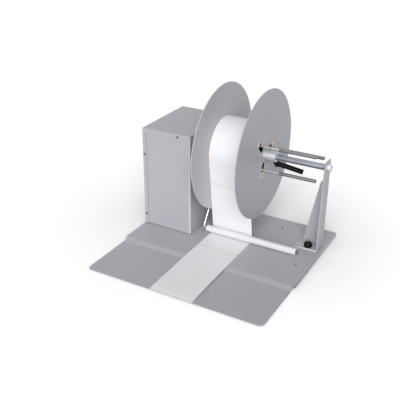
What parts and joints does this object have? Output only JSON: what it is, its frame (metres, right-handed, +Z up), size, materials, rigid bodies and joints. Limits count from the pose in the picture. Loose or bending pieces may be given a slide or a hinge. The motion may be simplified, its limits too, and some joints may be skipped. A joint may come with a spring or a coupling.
{
  "type": "label rewinder",
  "caption": "Tabletop label rewinder: motor-driven spindle with flange discs and an adjustable rod core chuck, dancer roller, support post and stepped sheet-metal base.",
  "frame": {"origin": "on the table, under the middle of the machine's box", "axes": "+X to the right along the spindle, away from the drive housing; +Y to the rear; +Z up"},
  "size_m": [0.43, 0.478, 0.359],
  "materials": {
    "painted_sheet": "fine silver-grey powder coat, satin",
    "rubber": "matt black rubber",
    "zinc_steel": "zinc-plated steel",
    "rod_steel": "drawn steel",
    "bright_rod": "bright drawn rod",
    "turned_aluminium": "turned aluminium",
    "black_plastic": "fine-grained black plastic",
    "motor_paint": "dark paint",
    "roller_plastic": "white plastic",
    "circuit_board": "green circuit board",
    "brass": "bronze and brass",
    "core_board": "wound cardboard",
    "label_paper": "white label paper on yellowish liner"
  },
  "bodies": {
    "base": {"base_plate": "painted_sheet", "rubber_feet": "rubber", "base_screws": "zinc_steel", "housing_chassis": "painted_sheet", "housing_cover": "painted_sheet", "cover_screws": "zinc_steel", "bearing_housing": "turned_aluminium", "bearing_screws": "zinc_steel", "spindle_bearings": "zinc_steel", "drive_belt": "rubber", "gear_motor": "motor_paint", "motor_bracket": "zinc_steel", "motor_screws": "zinc_steel", "control_board": "circuit_board", "board_standoffs": "brass", "power_supply": "zinc_steel", "power_inlet": "black_plastic", "inlet_pins": "brass", "power_switch": "black_plastic", "direction_switch": "black_plastic", "speed_dial_base": "motor_paint", "dancer_bush": "brass", "tension_switch": "black_plastic", "switch_bracket": "zinc_steel", "label_web": "label_paper", "foot_nut": "zinc_steel"},
    "spindle": {"spindle_shaft": "zinc_steel", "spindle_pulley": "black_plastic", "inner_flange": "painted_sheet", "inner_hub": "turned_aluminium", "set_screws": "zinc_steel", "label_core": "core_board", "label_roll": "label_paper"},
    "motor_drive": {"motor_pulley": "black_plastic", "motor_shaft": "zinc_steel"},
    "flange_slide": {"outer_flange": "painted_sheet", "outer_hub": "turned_aluminium"},
    "clamp_lever": {"clamp_lever": "black_plastic", "clamp_stud": "zinc_steel"},
    "core_rod_1": {"core_rod_1": "rod_steel", "rod_nut_1": "zinc_steel"},
    "core_rod_2": {"core_rod_2": "rod_steel", "rod_nut_2": "zinc_steel"},
    "core_rod_3": {"core_rod_3": "rod_steel", "rod_nut_3": "zinc_steel"},
    "dancer": {"dancer_arm": "bright_rod", "arm_collar": "zinc_steel", "sensor_cam": "roller_plastic", "roller_screw": "zinc_steel"},
    "guide_roller": {"guide_roller": "roller_plastic", "roller_plugs": "roller_plastic"},
    "support_post": {"support_post": "painted_sheet", "post_bush": "turned_aluminium"},
    "foot_thumbscrew": {"foot_thumbscrew": "black_plastic"},
    "power_rocker": {"power_rocker": "black_plastic"},
    "direction_rocker": {"direction_rocker": "black_plastic"},
    "speed_knob": {"speed_knob": "black_plastic"}
  },
  "joints": [
    {"name": "spindle_spin", "type": "hinge", "parent": "base", "child": "spindle", "pos_m": [-0.015, 0.089, 0.209], "axis": [1, 0, 0], "continuous": true},
    {"name": "motor_spin", "type": "hinge", "parent": "base", "child": "motor_drive", "pos_m": [-0.121, 0.051, 0.12], "axis": [1, 0, 0], "continuous": true},
    {"name": "flange_slide", "type": "slide", "parent": "spindle", "child": "flange_slide", "axis": [1, 0, 0], "range_m": [0, 0.04]},
    {"name": "lever_turn", "type": "hinge", "parent": "flange_slide", "child": "clamp_lever", "pos_m": [0.078, 0.089, 0.209], "axis": [0, 0.6428, -0.766], "range_deg": [0, 90]},
    {"name": "rod_1_slide", "type": "slide", "parent": "spindle", "child": "core_rod_1", "axis": [0, 0.9903, 0.1392], "range_m": [-0.011, 0]},
    {"name": "rod_2_slide", "type": "slide", "parent": "spindle", "child": "core_rod_2", "axis": [0, -0.6157, 0.788], "range_m": [-0.011, 0]},
    {"name": "rod_3_slide", "type": "slide", "parent": "spindle", "child": "core_rod_3", "axis": [0, -0.3746, -0.9272], "range_m": [-0.011, 0]},
    {"name": "dancer_swing", "type": "hinge", "parent": "base", "child": "dancer", "pos_m": [-0.075, 0.09581, 0.116], "axis": [-1, 0, 0], "range_deg": [0, 35]},
    {"name": "roller_spin", "type": "hinge", "parent": "dancer", "child": "guide_roller", "pos_m": [0.055, 0.031, 0.0162], "axis": [1, 0, 0], "continuous": true},
    {"name": "post_slide", "type": "slide", "parent": "base", "child": "support_post", "axis": [1, 0, 0], "range_m": [0, 0.04]},
    {"name": "thumbscrew_turn", "type": "hinge", "parent": "base", "child": "foot_thumbscrew", "pos_m": [0.179, 0.08, 0.015], "axis": [0, 0, 1], "range_deg": [0, 360]},
    {"name": "power_rocker_tip", "type": "hinge", "parent": "base", "child": "power_rocker", "pos_m": [-0.139, 0.1783, 0.084], "axis": [-1, 0, 0], "range_deg": [0, 16]},
    {"name": "direction_rocker_tip", "type": "hinge", "parent": "base", "child": "direction_rocker", "pos_m": [-0.181, 0.1783, 0.14], "axis": [-1, 0, 0], "range_deg": [0, 16]},
    {"name": "speed_turn", "type": "hinge", "parent": "base", "child": "speed_knob", "pos_m": [-0.139, 0.1778, 0.14], "axis": [0, 1, 0], "range_deg": [-150, 150]}
  ],
  "couplings": [
    {"joint": "motor_spin", "follows": "spindle_spin", "ratio": 3}
  ]
}
